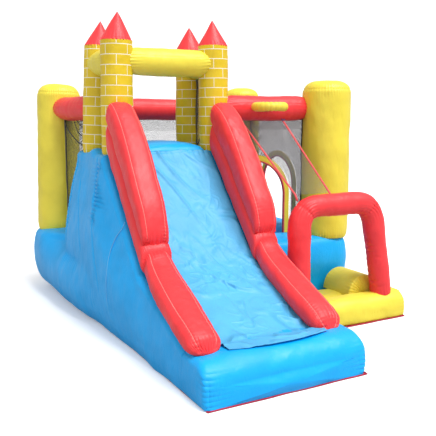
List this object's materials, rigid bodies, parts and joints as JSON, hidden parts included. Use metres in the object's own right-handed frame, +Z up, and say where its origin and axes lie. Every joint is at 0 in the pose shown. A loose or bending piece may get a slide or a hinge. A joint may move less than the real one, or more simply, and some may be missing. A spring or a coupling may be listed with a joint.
{
  "type": "inflatable bounce house",
  "caption": "Inflatable play house with a padded slide, brick-look corner towers, netted bounce area, entry arch with pad, and an air blower behind it.",
  "frame": {"origin": "on the ground, on the slide's centre line, below the line of the front towers", "axes": "+Z up, slide points towards -Y, bounce area lies towards +X"},
  "size_m": [2.489, 3.862, 2.4],
  "materials": {
    "red_fabric": "satin",
    "yellow_fabric": "satin",
    "brick_fabric": "satin",
    "blue_fabric": "satin",
    "sky_fabric": "satin",
    "net_mesh": "matte",
    "red_webbing": "matte",
    "ground_fabric": "matte",
    "zip_tape": "matte",
    "blower_case": "satin",
    "black_plastic": "satin",
    "impeller_plastic": "matte",
    "motor_metal": "matte",
    "red_plastic": "gloss",
    "slider_metal": "polished"
  },
  "bodies": {
    "house": {"base_wall_front": "blue_fabric", "base_wall_left": "blue_fabric", "base_wall_rear": "blue_fabric", "base_wall_right": "blue_fabric", "beam_front": "red_fabric", "beam_left": "red_fabric", "beam_rear": "red_fabric", "beam_right": "red_fabric", "blower_handle": "black_plastic", "blower_housing": "blower_case", "blower_motor": "motor_metal", "bounce_floor": "blue_fabric", "cable_gland": "black_plastic", "canopy_binding": "red_webbing", "canopy_net": "net_mesh", "climbing_rungs": "yellow_fabric", "climbing_wall": "blue_fabric", "column_left_rear": "yellow_fabric", "column_right_front": "yellow_fabric", "column_right_rear": "yellow_fabric", "deflation_zip": "zip_tape", "door_trim_front": "yellow_fabric", "door_trim_right": "yellow_fabric", "entry_arch": "red_fabric", "entry_bolster": "yellow_fabric", "entry_floor": "yellow_fabric", "ground_sheet": "ground_fabric", "inlet_sleeve": "blue_fabric", "intake_grille": "black_plastic", "landing_bolster": "blue_fabric", "left_rail_lower_tube": "red_fabric", "left_rail_upper_tube": "red_fabric", "net_front": "net_mesh", "net_left": "net_mesh", "net_rear": "net_mesh", "net_right": "net_mesh", "platform_block": "blue_fabric", "platform_pad": "sky_fabric", "play_hoop": "yellow_fabric", "right_rail_lower_tube": "red_fabric", "right_rail_upper_tube": "red_fabric", "side_bolster": "yellow_fabric", "slide_body": "blue_fabric", "slide_cover": "sky_fabric", "spire_front_left": "red_fabric", "spire_front_right": "red_fabric", "spire_rear_left": "red_fabric", "spire_rear_right": "red_fabric", "tower_beam_front": "yellow_fabric", "tower_beam_left": "yellow_fabric", "tower_beam_right": "yellow_fabric", "tower_front_left": "brick_fabric", "tower_front_right": "brick_fabric", "tower_nets": "net_mesh", "tower_rear_left": "brick_fabric", "tower_rear_right": "brick_fabric"},
    "impeller": {"blower_impeller": "impeller_plastic"},
    "rocker": {"switch_rocker": "red_plastic"},
    "slider": {"zip_slider": "slider_metal"}
  },
  "joints": [
    {"name": "impeller_spin", "type": "hinge", "parent": "house", "child": "impeller", "pos_m": [0.7, 1.9, 0.21], "axis": [1, 0, 0], "continuous": true},
    {"name": "switch_rock", "type": "hinge", "parent": "house", "child": "rocker", "pos_m": [0.56, 1.9, 0.292], "axis": [0, 1, 0], "range_deg": [0, 14]},
    {"name": "zip_slide", "type": "slide", "parent": "house", "child": "slider", "axis": [1, 0, 0], "range_m": [0, 0.25]}
  ]
}
